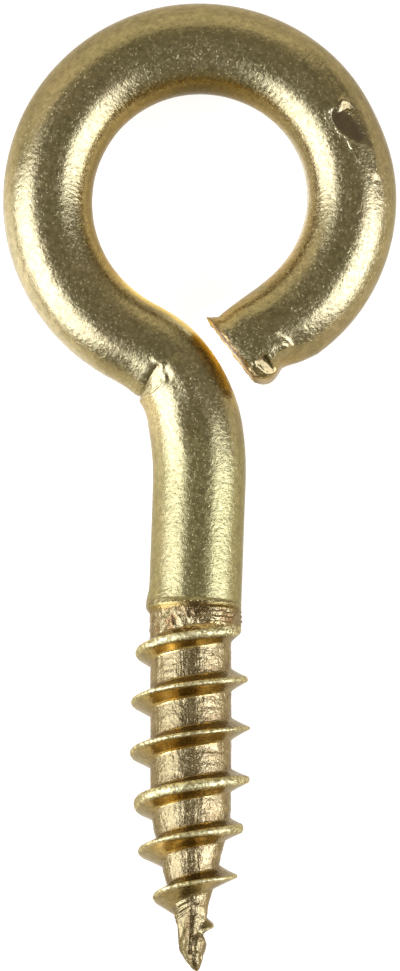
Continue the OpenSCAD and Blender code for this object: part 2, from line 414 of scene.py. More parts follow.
# radius over the crest, by turns from the right-hand side
CREST_R = ([-0.6, -0.1, 0.0, 0.25, 0.5, 1.0, 1.5, 2.0, 2.5, 3.0, 3.5, 4.0, 4.5, 5.0, 5.5, 5.8, 5.97, 6.08, 6.2],
           [1.40, 1.50, 1.545, 1.62, 1.69, 1.745, 1.827, 1.815, 1.857, 1.80, 1.745, 1.61, 1.61, 1.43, 1.15, 0.93,
            0.78, 0.58, 0.0])
# half width of the flat on top of the crest
LAND = ([-0.5, 0.0, 0.3, 0.6, 0.8, 1.0, 1.25, 1.6, 2.0, 2.45, 2.9, 3.05, 3.3, 3.6, 3.8, 4.0, 4.15, 4.35, 4.6, 5.0,
         5.4, 6.0],
        [0.14, 0.14, 0.125, 0.09, 0.06, 0.085, 0.06, 0.04, 0.04, 0.065, 0.075, 0.11, 0.155, 0.16, 0.11, 0.14, 0.11, 0.05,
         0.04, 0.04, 0.05, 0.03])
CORE_R = ([0.0, 0.07, 0.16, 0.34, 0.5, 1.3, 6.1, 6.8, 7.6, 8.3, 9.0, 9.5, 10.04, 10.3, 10.6, 10.76, 10.94, 11.13, 11.25],
          [1.42, 1.42, 1.34, 1.29, 1.26, 1.24, 1.235, 1.15, 0.95, 0.81, 0.60, 0.46, 0.41, 0.42, 0.41, 0.335, 0.25,
           0.13, 0.02])


def lean_of(t):
    """the core stands a little off the shank's middle"""
    return CORE_OFF * (1 - smooth(0.0, 0.55, t))


def crest_t(turns):
    return RIB_START + PITCH * turns + spline(turns, *CREST_FIX)


# rows across one pitch: halfway behind, foot, land, foot, halfway ahead
SHARE = np.concatenate([np.linspace(0, 1, 13)[:-1], 1 + np.linspace(0, 1, 8)[:-1], 2 + np.linspace(0, 1, 6)[:-1],
                        3 + np.linspace(0, 1, 8)[:-1], 4 + np.linspace(0, 1, 14)[:-1]])
M = len(SHARE)
FOOT_UP, FOOT_DOWN = 0.335, 0.385


def ribbon(turns, share):
    """distance down the axis for a row of the ribbon at this many turns"""
    c = crest_t(turns)
    before = (c + crest_t(turns - 1)) / 2
    after = (c + crest_t(turns + 1)) / 2
    land = spline(turns, *LAND)
    marks = [before, c - FOOT_UP, c - land, c + land, c + FOOT_DOWN, after]
    k = np.clip(np.floor(share).astype(int), 0, 4)
    f = share - k
    lo = np.choose(k, [m + 0 * share for m in marks[:-1]])
    hi = np.choose(k, [m + 0 * share for m in marks[1:]])
    return lo + (hi - lo) * f


def thread_shape(phi_turns, t):
    """phi_turns: 0..1 round the axis from +X through the front; t down the axis. Returns the radius, its parts and zone
    shares.
    """
    k = np.round((t - RIB_START) / PITCH - phi_turns)
    best = None
    for dk in (-1, 0, 1):
        turns = phi_turns + k + dk
        d = t - crest_t(turns)
        if best is None:
            best, bt = d, turns
        else:
            m = np.abs(d) < np.abs(best)
            best, bt = np.where(m, d, best), np.where(m, turns, bt)
    d, turns = best, bt
    deg = phi_turns * 360.0
    core = spline(t, *CORE_R)
    cs, sn = np.cos(np.radians(deg)), np.sin(np.radians(deg))
    # the full wire's outline, seen from the thread's own middle
    off = CORE_OFF - lean_of(t)
    own = off * cs + np.sqrt(WIRE_R**2 - (off * sn) ** 2)
    # above the first crest the right side was never rolled
    right = 0.5 + 0.5 * cs
    d0 = t - crest_t(turn(deg) / 360.0)
    stay = smooth(0.3, 0.75, right) * smooth(0.06, -0.14, d0)
    t_in = t - 0.10 * (1 - np.clip(sn, 0, 1))
    step_in = 0.85 * np.clip((t_in - 0.02) / 0.15, 0, 1) + 0.15 * smooth(0.02, 0.26, t_in)
    base = own * (1 - step_in) + core * step_in
    base = base + (own - base) * stay
    # bulge on the left where the roll pushed metal up
    left = smooth(75, 20, np.abs(turn(deg - 180)))
    base = base + 0.085 * left * np.exp(-((t + 0.02) / 0.33) ** 2) * smooth(0.30, 0.06, t)
    top = np.maximum(spline(turns, *CREST_R), base)
    land = spline(turns, *LAND)
    foot = np.where(d < 0, FOOT_UP, FOOT_DOWN) * (1 - np.where(d < 0, 0.15, 0.48) * smooth(5.6, 5.9, turns))
    lead = smooth(-0.30, 0.0, turns)
    s_ = np.clip((foot - np.abs(d)) / np.maximum(foot - land, 0.05), 0, 1)
    prof = 1.06 * s_ ** 2 / (s_ + 0.06)
    prof = (prof - 0.03 * np.sin(np.pi * s_)) * lead
    r = base + (top - base) * prof
    over = np.clip(np.abs(d) / np.maximum(land, 0.02), 0, 1)
    r = r - 0.42 * land * over ** 2.4 * lead * smooth(0.0, 0.1, top - base) * np.clip(prof, 0, 1)
    real = lead * smooth(0.0, 0.06, top - base)
    crest = smooth(0.90, 0.99, s_) * real
    flank = smooth(0.04, 0.22, s_) * (1 - smooth(0.90, 0.99, s_)) * real * np.where(d < 0, 0.4, 1.0)
    return r, base, top, s_, crest, flank, turns, d, own


# columns: i round the axis, rows j of the helical ribbon from turn -2 to 8
turn_lo, turn_hi = -2, 8
rows_total = (turn_hi - turn_lo) * M
T_TOP, T_BOT = 0.0, THREAD_L - 0.035
col = np.arange(N)
jj = np.arange(rows_total)
J, I = np.meshgrid(jj, col, indexing="ij")
phi_share = I / N                                   # 0 at +X, 0.25 front
TURNS = turn_lo + J // M + phi_share
T = ribbon(TURNS, SHARE[J % M])
# the column after the last is the first, one ribbon on: (N, j) is (0, j + M)


def place(T, phi_share, J, I):
    r, base, top, s_, crest, flank, turns, d, own = thread_shape(phi_share, T)
    a = 2 * math.pi * phi_share
    q = np.stack([T.ravel(), (r * np.cos(a)).ravel(), (r * np.sin(a)).ravel()], 1)
    low = 1 - crest - flank
    low = np.clip(low, 0, 1)
    # scuffed core: short grooves, mostly along the axis lower down and across it by the collar
    n1 = noise(q, (0.55, 0.10, 0.10), 41).reshape(r.shape)
    n2 = noise(q, (0.09, 0.5, 0.5), 42).reshape(r.shape)
    n3 = noise(q, (0.13, 0.13, 0.13), 43).reshape(r.shape)
    deg = phi_share * 360
    up_zone = smooth(0.10, 0.2, T) * smooth(1.3, 0.9, T)
    chatter = up_zone * smooth(75, 40, np.abs(turn(deg - 20)))
    r = r + low * smooth(0.12, 0.3, T) * (0.010 * n1 + 0.007 * n3 + 0.006 * n2)
    r = r + 0.020 * chatter * np.sin(2 * math.pi * (T + 0.02 * n3) / 0.155) * smooth(0.7, 0.62, T)
    r = r + 0.018 * up_zone * low * n3
    r = r + crest * (0.010 * n3 + 0.008 * noise(q, (0.07, 0.07, 0.07), 44).reshape(r.shape))
    # nicks in the edge of the crest
    r = r - 0.03 * crest * smooth(0.55, 0.9, noise(q * 1.0, (0.4, 0.28, 0.28), 45).reshape(r.shape))
    # slim point: rolled facets that twist, and a hollow along its left
    tip = smooth(8.9, 9.8, T)
    tw = 2 * math.pi * (T - 9.0) / 5.2
    r = r * (1 + tip * smooth(11.3, 10.8, T) * (0.11 * np.cos(2 * (a - tw) + 0.4) + 0.05 * np.cos(5 * a - 2.2 * tw)))
    r = r + 0.020 * tip * smooth(11.2, 10.9, T) * noise(q, (0.17, 0.15, 0.15), 47).reshape(r.shape)
    # waist and shoulder on the right of the point
    r = r + 0.085 * hump(T, 10.37, 0.17) * hump(turn(deg), 0, 48) - 0.09 * hump(T, 10.08, 0.10) * hump(turn(deg), 0, 50)
    r = r - 0.030 * tip * smooth(11.1, 10.8, T) * np.exp(-((turn(deg - 78 - 60 * (T - 10.3))) / 13) ** 2)
    # the thread runs out in small steps
    steps = smooth(0.33, 0.40, d) * smooth(0.86, 0.72, d) * hump(turns, 5.38, 0.13)
    r = r + 0.026 * steps * np.cos(2 * math.pi * (d - 0.43) / 0.155)
    gx = turn(deg - (118 + 26 * (T - 10.2)))
    r = r - 0.085 * smooth(10.0, 10.35, T) * smooth(11.15, 10.8, T) * np.exp(-(gx / 20) ** 2)
    r = np.maximum(r, 0.015)
    x = r * np.cos(a)
    z = r * np.sin(a)
    lean = lean_of(T) + np.interp(T, [0, 9.6, 10.3, 10.8, 11.25], [0, 0, 0.02, 0.06, 0.19])
    lean_z = np.interp(T, [0, 9.6, 11.25], [0, 0, 0.03])
    return AXIS_X + x + lean, P5[1] - T, z + lean_z, crest, flank, low, up_zone, d


Tc = np.clip(T, T_TOP, T_BOT)
X_, Y_, Z_, C_, F_, L_, U_, D_ = place(Tc, phi_share, J, I)
thread_pts = np.stack([X_, Y_, Z_], -1)

# ------------------------------------------------------------------ one closed mesh
# the wire's angle runs the other way round: its 0 is -X on the shank, the thread's 0 is +X
order = (N // 2 - col) % N                         # wire column that lies over thread column i
verts, attr = [], {k: [] for k in ("core", "flank", "crest", "cut", "knock", "nip", "collar", "glow",
                                             "hot", "bend", "dusk", "lip", "plain", "stain", "ledge", "shine", "haze")}
tubes = []


def put(pts, tube, **share):
    start = sum(len(v) for v in verts)
    pts = np.asarray(pts, float).reshape(-1, 3)
    verts.append(pts)
    tubes.append(np.asarray(tube, float).reshape(-1, 3))
    for k in attr:
        v = share.get(k, 0.0)
        attr[k].append(np.broadcast_to(np.asarray(v, float).reshape(-1), (len(pts),))
                       if np.ndim(v) else np.full(len(pts), float(v)))
    return start


faces = []


def strip(a, b, flip=False):
    """quads between two closed rows of vertex numbers"""
    a2, b2 = np.roll(a, -1), np.roll(b, -1)
    f = np.stack([a, b, b2, a2], 1)
    if flip:
        f = f[:, ::-1]
    faces.extend(f.tolist())


def tube_of(sv, pts, mid, across):
    """straightened coordinates: along the wire, outward share, height"""
    d = pts[..., :2] - mid[:, None, :]
    nn = (d * across[:, None, :]).sum(-1)
    return np.stack([np.broadcast_to(sv[:, None], nn.shape), nn, pts[..., 2]], -1)


# end face
cap_low = smooth(0.90, 0.50, cap[..., 2]) * smooth(-0.55, -0.15, cap[..., 2])     # a painted highlight band across the middle, dull above and below
cap_start = put(cap, np.stack([np.full(cap.shape[:2], -3.2), (cap @ np.array([0.61, -0.79, 0.0])), cap[..., 2]], -1),
                cut=1 - 0.55 * cap_low, hot=cap_low)
tip_start = put(cap_tip, [[-3.2, cap_tip @ np.array([0.61, -0.79, 0.0]), cap_tip[2]]], cut=0.45, hot=1.0)
arm_len = np.linalg.norm(tail_arm, axis=1)
lip_share = smooth(0.9, 0.25, tail_u)[:, None] * np.ones(N)
# painted light on the tail: reflection on its sides, a highlight band, and shade on the lobe's flat face
tail_start = put(tail_pts, tube_of(tail_mm, tail_pts, tail_mid, tail_arm / arm_len[:, None]), cut=lip_share,
                 nip=nip_mask, haze=0.9 * nip_face, stain=0.55 * nip_face,
                 shine=0.24 * hump(np.cos(ang), -0.72, 0.14)[None, :] * np.ones((len(tail_u), 1)),
                 glow=(0.95 * smooth(-0.45, -0.85, np.cos(ang)) * smooth(0.95, 0.2, np.sin(ang))
                       + 0.6 * smooth(0.35, 0.75, np.cos(ang)) * smooth(0.75, 0.2, np.sin(ang)))[None, :]
                 * smooth(9.0, 4.0, tail_u)[:, None])
p_mid, _ = at(row_s)
down = smooth(0.95, 0.2, np.sin(ang))[None, :]            # not on the very top
eye_in = smooth(-0.45, -0.85, np.cos(ang))[None, :]
eye_out = smooth(0.45, 0.85, np.cos(ang))[None, :]
in_eye = (smooth(S_NECK + 0.2, S_NECK - 2.5, row_s))[:, None]
in_neck = (smooth(S_NECK - 2.0, S_NECK - 0.3, row_s) * smooth(S_SHANK - 0.3, S_EASE - 0.6, row_s))[:, None]
pol_s = row_s / EYE_R * 180 / math.pi + TAIL_FROM
# painted reflection: warm gold on the inside of the eye, stronger at some angles round it
warm = np.interp(pol_s, [-54, -20, 0, 30, 55, 75, 105, 130, 160, 190, 215, 260], [0.6, 0.35, 0.1, 0.05, 0.4, 0.9, 0.9,
                                                                                  0.55, 0.5, 0.7, 0.9, 0.9])[:, None]
glow = (eye_in * in_eye * warm) * down
# painted reflection: a bright gold band along the inside of the neck
hot = smooth(-0.78, -0.94, np.cos(ang))[None, :] * down * (smooth(S_NECK - 2.6, S_NECK - 1.0, row_s)
                                                           * smooth(S_EASE + 0.6, S_EASE - 1.4, row_s))[:, None]
plain = smooth(S_EASE - 0.5, S_SHANK + 0.6, row_s)[:, None] * np.ones((1, N))
# painted shade: highlights dimmed on the shank's left, the eye's lower left, the knock's heap and beside the knock
haze = 0.5 * smooth(S_EASE + 1.2, S_SHANK + 0.8, row_s)[:, None] * hump(turn(np.degrees(ang) - 52), 0, 26)[None, :]
haze = np.maximum(haze, 0.75 * hump(row_s, 24.5, 0.85)[:, None] * hump(turn(np.degrees(ang) - 40), 0, 34)[None, :])
haze = np.maximum(haze, 0.9 * heap)
haze = np.maximum(haze, 0.65 * (hump(pol_s, 27, 17)[:, None] * smooth(0.72, 0.92, np.cos(ang))[None, :]))
# painted shade: the inside of the eye darkened near its top and its left
dusk = smooth(-0.58, -0.95, np.cos(ang))[None, :] * smooth(0.98, 0.6, np.sin(ang))[None, :] * (
    np.maximum(hump(pol_s, 90, 40), 0.50 * hump(pol_s, 172, 52)) * (row_s < S_RUN + 5))[:, None]
# and a painted highlight band beside it
pale = hump(np.cos(ang), -0.70, 0.13)[None, :] * down * (
    0.24 * smooth(-75, -40, pol_s) * smooth(66, 44, pol_s) + 0.11 * hump(pol_s, 155, 34))[:, None]
bend = np.clip(eye_in * in_eye * 1.0 + eye_out * in_neck * 0.5, 0, 1) * np.ones((1, N))
# painted highlight along the shank's left side below the crease
beside = 0.13 * smooth(0.45, 0.80, np.cos(ang))[None, :] * (
    smooth(S_NECK + 1.5, S_NECK + 1.9, row_s) * smooth(S_EASE + 1.4, S_EASE - 0.4, row_s))[:, None]
# the knock's heap also gets painted shade
wire_start = put(wire_pts, tube_of(row_s, wire_pts, p_mid, wire_n), knock=knock_mask, glow=np.clip(glow, 0, 1),
                 hot=np.clip(hot, 0, 1), bend=bend, dusk=dusk, lip=wire_lip, plain=plain, shine=np.maximum(pale, beside), stain=0.5 * heap, haze=haze, collar=smooth(S_END - 0.12, S_END, row_s)[:, None] * np.ones(N))

ident = np.arange(N)
rows = []
for j in range(rings - 1):
    rows.append(cap_start + j * N + ident)
# fan in the middle of the face
inner = rows[-1]
faces.extend([[int(tip_start), int(inner[i]), int(inner[(i + 1) % N])] for i in range(N)])
for j in range(rings - 2, 0, -1):
    strip(rows[j], rows[j - 1])
tail_rows_i = [tail_start + j * N + ident for j in range(len(tail_u))]
strip(rows[0], tail_rows_i[0])
for j in range(len(tail_u) - 1):
    strip(tail_rows_i[j], tail_rows_i[j + 1])
wire_rows_i = [wire_start + j * N + ident for j in range(len(row_s))]
strip(tail_rows_i[-1], wire_rows_i[0])
for j in range(len(row_s) - 1):
    strip(wire_rows_i[j], wire_rows_i[j + 1])

# top circle of the thread
a0 = 2 * math.pi * col / N
top_T = np.full(N, T_TOP)
x0, y0, z0, *_rest = place(top_T, col / N, 0, col)
top_pts = np.stack([x0, y0, z0], -1)
top_start = put(top_pts, np.stack([S_END + top_T, -(x0 - AXIS_X), z0], -1), collar=1.0, plain=1.0)
top_row = top_start + ident
bot_T = np.full(N, T_BOT)
xb, yb, zb, *_rest = place(bot_T, col / N, 0, col)
bot_start = put(np.stack([xb, yb, zb], -1), np.stack([S_END + bot_T, -(xb - AXIS_X), zb], -1), core=1.0)
end_pt = np.array([AXIS_X + 0.19, P5[1] - THREAD_L, 0.03])
end_start = put(end_pt, [[S_END + THREAD_L, -0.19, 0.03]], core=1.0)

inside = (T > T_TOP + 1e-6) & (T < T_BOT - 1e-6)
number = np.full(T.shape, -1, np.int64)
k_in = np.cumsum(inside.ravel()).reshape(T.shape) - 1
thread_start = sum(len(v) for v in verts)
number[inside] = thread_start + k_in[inside]
number[T <= T_TOP + 1e-6] = (top_start + np.broadcast_to(col, T.shape))[T <= T_TOP + 1e-6]
number[T >= T_BOT - 1e-6] = (bot_start + np.broadcast_to(col, T.shape))[T >= T_BOT - 1e-6]
core_share = L_ * smooth(0.10, 0.24, T - 0.10 * (1 - np.clip(np.sin(2 * math.pi * phi_share), 0, 1)))
front = smooth(0.30, 0.88, np.abs(np.sin(2 * math.pi * phi_share)))
F_ = F_ * (0.05 + 0.95 * front)
# painted shade on the step under the collar
ledge = 0.95 * L_ * hump(T - 0.10 * (1 - np.clip(np.sin(2 * math.pi * phi_share), 0, 1)), 0.10, 0.085)
phi = 360 * phi_share
# painted shade above each crest and down the middle of the point, and a rusty patch by the collar
stain = np.maximum(hump(turn(phi - 84), 0, 24) * smooth(0.0, 0.08, T) * smooth(0.62, 0.30, T),
                   0.62 * hump(D_, -0.40, 0.12) * smooth(0.9, 1.3, T) * smooth(9.0, 8.4, T) * (1 - C_))
stain = np.maximum(stain, 0.95 * hump(turn(phi - 100), 0, 30 - 17 * smooth(10.3, 10.75, T)) * smooth(9.2, 9.6, T) * smooth(11.2, 11.0, T))
right_side = smooth(58, 44, np.abs(turn(phi)))
# painted highlight on the thread's flanks
shine = F_ * np.maximum(hump(turn(phi - 122), 0, 9), 0.42 * smooth(46, 62, phi) * smooth(112, 100, phi)) * smooth(8.0, 7.5, T)
shine = shine * (1 - right_side)
# painted shade: the right flanks, the core's left highlight, the point and the lowest flanks dimmed
grey = np.clip(0.6 * F_ * right_side + 0.80 * core_share * hump(turn(phi - 125), 0, 24) + 0.50 * smooth(9.2, 9.8, T) + 0.95 * F_ * smooth(8.1, 8.8, T)
               + 0.5 * hump(turn(phi - 128), 0, 26) * smooth(0.25, 0.0, T), 0, 1)
# more painted shade on the right flanks, the point and the core's left
stain = np.maximum(stain, 0.55 * F_ * right_side)
stain = np.maximum(stain, 0.30 * smooth(9.5, 9.9, T) * smooth(10.8, 10.5, T))
stain = np.maximum(stain, 0.34 * core_share * hump(turn(phi - 130), 0, 26) * smooth(9.0, 8.5, T))
F_ = F_ * (1 - 0.7 * right_side) * (1 - 0.75 * smooth(8.1, 8.8, T))
put(thread_pts[inside], np.stack([S_END + T, -(X_ - AXIS_X), Z_], -1)[inside], core=core_share[inside],
    flank=F_[inside], crest=C_[inside], collar=U_[inside], plain=smooth(0.25, 0.0, T)[inside],
    stain=stain[inside], ledge=ledge[inside], shine=shine[inside],
    haze=grey[inside])

strip(wire_rows_i[-1][order], top_row, flip=False)
quads = []
for i in range(N):
    a = number[:, i]
    if i + 1 < N:
        b = number[:, i + 1]
    else:
        b = np.full(rows_total, -1, np.int64)
        b[:rows_total - M] = number[M:, 0]
        b[rows_total - M:] = bot_start
    q = np.stack([a[:-1], a[1:], b[1:], b[:-1]], 1)
    ok = (q >= 0).all(1)
    quads.append(q[ok])
quads = np.concatenate(quads)
for f in quads.tolist():
    g = [v for n_, v in enumerate(f) if v != f[n_ - 1]]
    if len(set(g)) >= 3 and len(set(g)) == len(g):
        # a strip that runs along the top or bottom circle has no height
        if not (all(top_start <= v < top_start + N for v in g) or all(bot_start <= v < bot_start + N for v in g)):
            faces.append(g)
faces.extend([[int(bot_start + i), int(end_start), int(bot_start + (i + 1) % N)] for i in range(N)])

V = np.concatenate(verts)
TUBE = np.concatenate(tubes)
A = {k: np.concatenate(v) for k, v in attr.items()}

# the flat frame laid down on the floor, in metres
ct, st = math.cos(TILT), math.sin(TILT)
W = np.stack([V[:, 0] - BOX_X, V[:, 1] * ct + V[:, 2] * st - BOX_Y, -V[:, 1] * st + V[:, 2] * ct + LIFT], 1)
# it rests on the floor: what would dip below is worn flat
W[:, 2] = np.maximum(W[:, 2], 0.0)
W /= 1000.0

mesh = bpy.data.meshes.new("screw_eye_brass")
mesh.from_pydata(W.tolist(), [], faces)
mesh.update()
for name, values in A.items():
    layer = mesh.attributes.new(name, "FLOAT", "POINT")
    layer.data.foreach_set("value", values.astype(np.float32))
layer = mesh.attributes.new("tube", "FLOAT_VECTOR", "POINT")
layer.data.foreach_set("vector", TUBE.astype(np.float32).ravel())

bm = bmesh.new()
bm.from_mesh(mesh)
for v in [v for v in bm.verts if not v.link_faces]:
    bm.verts.remove(v)
open_edges = sum(1 for e in bm.edges if len(e.link_faces) != 2)
bmesh.ops.recalc_face_normals(bm, faces=bm.faces)
volume = bm.calc_volume(signed=True)
if volume < 0:
    bmesh.ops.reverse_faces(bm, faces=bm.faces)
tris = sum(len(f.verts) - 2 for f in bm.faces)
bm.to_mesh(mesh)
bm.free()
mesh.polygons.foreach_set("use_smooth", np.ones(len(mesh.polygons), bool))
print("MESH faces", len(mesh.polygons), "tris", tris, "open", open_edges, "mm3", volume * 1e9)

piece = bpy.data.objects.new("screw_eye_brass", mesh)
bpy.context.scene.collection.objects.link(piece)


# ------------------------------------------------------------------ brass
class Nodes:
    def __init__(self, name):
        self.material = bpy.data.materials.new(name)
        self.material.use_nodes = True
        self.tree = self.material.node_tree
        self.tree.nodes.clear()
        self.count = 0

    def add(self, kind, **settings):
        n = self.tree.nodes.new(kind)
        n.location = ((self.count % 12) * 190 - 1200, 500 - (self.count // 12) * 260)
        self.count += 1
        for k, v in settings.items():
            setattr(n, k, v)
        return n

    def link(self, a, b):
        self.tree.links.new(a, b)

    def feed(self, socket, value):
        if hasattr(value, "is_output") or hasattr(value, "links"):
            self.link(value, socket)
        else:
            socket.default_value = value

    def math(self, op, a, b=0.0, c=None, clamp=False):
        n = self.add("ShaderNodeMath", operation=op, use_clamp=clamp)
        self.feed(n.inputs[0], a)
        self.feed(n.inputs[1], b)
        if c is not None:
            self.feed(n.inputs[2], c)
        return n.outputs[0]

    def attr(self, name, vector=False):
        n = self.add("ShaderNodeAttribute", attribute_name=name)
        return n.outputs["Vector"] if vector else n.outputs["Fac"]

    def stretch(self, vector, scale, shift=(0, 0, 0)):
        n = self.add("ShaderNodeMapping")
        self.link(vector, n.inputs["Vector"])
        n.inputs["Scale"].default_value = scale
        n.inputs["Location"].default_value = shift
        return n.outputs[0]

    def noise(self, vector, scale, detail=2.0, rough=0.5, distort=0.0):
        n = self.add("ShaderNodeTexNoise")
        self.link(vector, n.inputs["Vector"])
        n.inputs["Scale"].default_value = scale
        n.inputs["Detail"].default_value = detail
        n.inputs["Roughness"].default_value = rough
        n.inputs["Distortion"].default_value = distort
        return n.outputs["Fac"]

    def cells(self, vector, scale, feature="F1"):
        n = self.add("ShaderNodeTexVoronoi", feature=feature)
        self.link(vector, n.inputs["Vector"])
        n.inputs["Scale"].default_value = scale
        return n.outputs["Distance"]

    def ramp(self, value, low, high, to_low=0.0, to_high=1.0):
        n = self.add("ShaderNodeMapRange", interpolation_type="SMOOTHSTEP")
        self.feed(n.inputs["Value"], value)
        n.inputs["From Min"].default_value = low
        n.inputs["From Max"].default_value = high
        n.inputs["To Min"].default_value = to_low
        n.inputs["To Max"].default_value = to_high
        return n.outputs["Result"]

    def mix(self, share, a, b):
        n = self.add("ShaderNodeMix", data_type="RGBA")
        self.feed(n.inputs["Factor"], share)
        self.feed(n.inputs["A_Color" if "A_Color" in n.inputs else 6], a if not isinstance(a, tuple) else (*a, 1.0))
        self.feed(n.inputs["B_Color" if "B_Color" in n.inputs else 7], b if not isinstance(b, tuple) else (*b, 1.0))
        return n.outputs[2]


def brass():
    m = Nodes("brass_plate")
    tube = m.attr("tube", vector=True)
    core, flank, crest = m.attr("core"), m.attr("flank"), m.attr("crest")
    cut, knocked, nip, collar = m.attr("cut"), m.attr("knock"), m.attr("nip"), m.attr("collar")
    glow, bend, lip = m.attr("glow"), m.attr("bend"), m.attr("lip")
    # patterns, from broad to fine
    cloud = m.noise(tube, 0.55, 3, 0.55)
    patch = m.noise(m.stretch(tube, (1, 1, 1), (7, 3, 1)), 3.2, 3, 0.6)
    blotch = m.noise(m.stretch(tube, (1, 1, 1), (2, 13, 4)), 5.0, 3, 0.6)
    speck = m.noise(m.stretch(tube, (1, 1, 1), (17, 5, 9)), 9.0, 2, 0.6)
    frost = m.noise(m.stretch(tube, (1, 1, 1), (4, 21, 6)), 7.5, 3, 0.65)
    # colour
    base = m.mix(m.ramp(cloud, 0.35, 0.65), WIRE_A, WIRE_B)
    base = m.mix(m.math("MULTIPLY", m.ramp(patch, 0.42, 0.7), 0.5), base, WIRE_C)
    base = m.mix(m.math("MULTIPLY", m.attr("plain"), 0.8), base, PLAIN)
    spots = m.noise(m.stretch(tube, (1, 1, 1), (5, 2, 8)), 2.6, 4, 0.7)
    base = m.mix(m.math("MULTIPLY", m.ramp(spots, 0.50, 0.68), 0.40), base, DULL)
    # painted reflection: warm gold inside the eye and along the tail
    base = m.mix(glow, base, GLOW)
    # painted shade inside the top of the eye
    base = m.mix(m.attr("dusk"), base, DUSK)
    # painted reflection along the neck, painted highlight across the end face
    base = m.mix(m.attr("hot"), base, HOT)
    core_col = m.mix(m.ramp(patch, 0.4, 0.62), CORE_A, CORE_B)
    core_col = m.mix(m.math("MULTIPLY", m.ramp(blotch, 0.55, 0.68), 0.7), core_col, CORE_C)
    base = m.mix(core, base, core_col)
    # painted shade: highlights dimmed in places
    base = m.mix(m.attr("haze"), base, DULL)
    base = m.mix(m.math("MULTIPLY", collar, m.ramp(patch, 0.50, 0.64)), base, RUST)
    # painted shade on the collar's step
    base = m.mix(m.attr("ledge"), base, LEDGE)
    # stains, and painted shade above the crests, down the point, on the right flanks and on the knock's heap
    base = m.mix(m.math("MULTIPLY", m.attr("stain"), m.ramp(blotch, 0.36, 0.60, 0.45, 0.95)), base, STAIN)
    # flank gold, partly painted reflection
    base = m.mix(flank, base, m.mix(m.ramp(cloud, 0.4, 0.6), FLANK_A, FLANK_B))
    # painted highlights
    base = m.mix(m.attr("shine"), base, SHINE)
    base = m.mix(m.math("MULTIPLY", crest, 0.8), base, m.mix(m.ramp(speck, 0.44, 0.56), CREST_A, CREST_B))
    base = m.mix(cut, base, m.mix(m.ramp(speck, 0.46, 0.60), CUT_B, CUT_A))
    # the frosted plating: every grain is a little lighter or darker than the next
    shade = m.ramp(frost, 0.32, 0.68, 1.0 - GRAIN, 1.0 + GRAIN)
    shade = m.math("MULTIPLY", shade, m.ramp(blotch, 0.30, 0.70, 0.86, 1.13))
    shade = m.math("MULTIPLY", shade, m.ramp(cut, 0.0, 1.0, 1.0, 1.1))
    tone = m.add("ShaderNodeVectorMath", operation="SCALE")
    m.link(base, tone.inputs[0])
    m.link(shade, tone.inputs["Scale"])
    base = tone.outputs["Vector"]
    base = m.mix(m.math("MULTIPLY", knocked, m.ramp(blotch, 0.35, 0.65, 0.5, 0.9)), base, KNOCK)
    # painted highlight along the knock's lip
    base = m.mix(m.math("MULTIPLY", lip, 0.3), base, LIP)
    # a painted highlight line round the knock's lower side, which runs on as a scratch
    parts = m.add("ShaderNodeSeparateXYZ")
    m.link(tube, parts.inputs[0])
    run, side, high = parts.outputs[0], parts.outputs[1], parts.outputs[2]
    curve = m.add("ShaderNodeFloatCurve")
    pts = curve.mapping.curves[0].points
    marks = [(5.0, 0.40), (5.203, 0.323), (5.403, 0.221), (5.703, 0.154), (6.003, 0.108), (6.283, -0.044),
             (6.563, -0.066), (6.764, -0.047), (6.944, 0.050), (7.2, 0.15)]
    for k, (a, b) in enumerate(marks):
        spot = ((a - 5.0) / 2.2, b + 0.5)
        if 0 < k < len(marks) - 1:
            pts.new(*spot)
        else:
            pts[0 if k == 0 else len(pts) - 1].location = spot
    curve.mapping.update()
    m.link(m.math("DIVIDE", m.math("SUBTRACT", run, 5.0), 2.2), curve.inputs["Value"])
    away = m.math("ABSOLUTE", m.math("SUBTRACT", side, m.math("SUBTRACT", curve.outputs[0], 0.5)))
    line = m.math("MULTIPLY", m.ramp(away, 0.036, 0.008), m.ramp(run, 5.14, 5.24))
    line = m.math("MULTIPLY", line, m.ramp(run, 7.02, 6.94))
    line = m.math("MULTIPLY", line, m.ramp(high, 0.2, 0.7))
    line = m.math("MULTIPLY", line, m.ramp(blotch, 0.40, 0.56, 0.2, 1.0))
    base = m.mix(m.math("MULTIPLY", line, 0.6), base, LIP)
    pit = m.ramp(m.cells(m.stretch(tube, (1, 1, 1), (3, 11, 5)), 3.3), 0.10, 0.05)
    base = m.mix(m.math("MULTIPLY", pit, 0.30), base, (0.10, 0.075, 0.04))
    # roughness: frosted grains beside smooth ones
    smooth_bits = m.math("MAXIMUM", flank, m.math("MAXIMUM", knocked, nip))
    frosted = m.math("MULTIPLY", m.ramp(speck, 0.42, 0.66), m.math("SUBTRACT", 1.0, smooth_bits))
    rough = m.math("ADD", ROUGH, m.math("MULTIPLY", m.math("SUBTRACT", patch, 0.5), 0.14))
    rough = m.math("MULTIPLY_ADD", frosted, FROST, rough)
    rough = m.math("MULTIPLY_ADD", crest, 0.14, rough)
    rough = m.math("MULTIPLY_ADD", m.attr("plain"), 0.07, rough)
    rough = m.math("SUBTRACT", rough, m.math("MULTIPLY", flank, 0.05))
    rough = m.math("SUBTRACT", rough, m.math("MULTIPLY", core, 0.04))
    rough = m.math("MULTIPLY_ADD", m.attr("hot"), 0.10, rough)
    rough = m.math("MULTIPLY_ADD", cut, 0.15, rough)
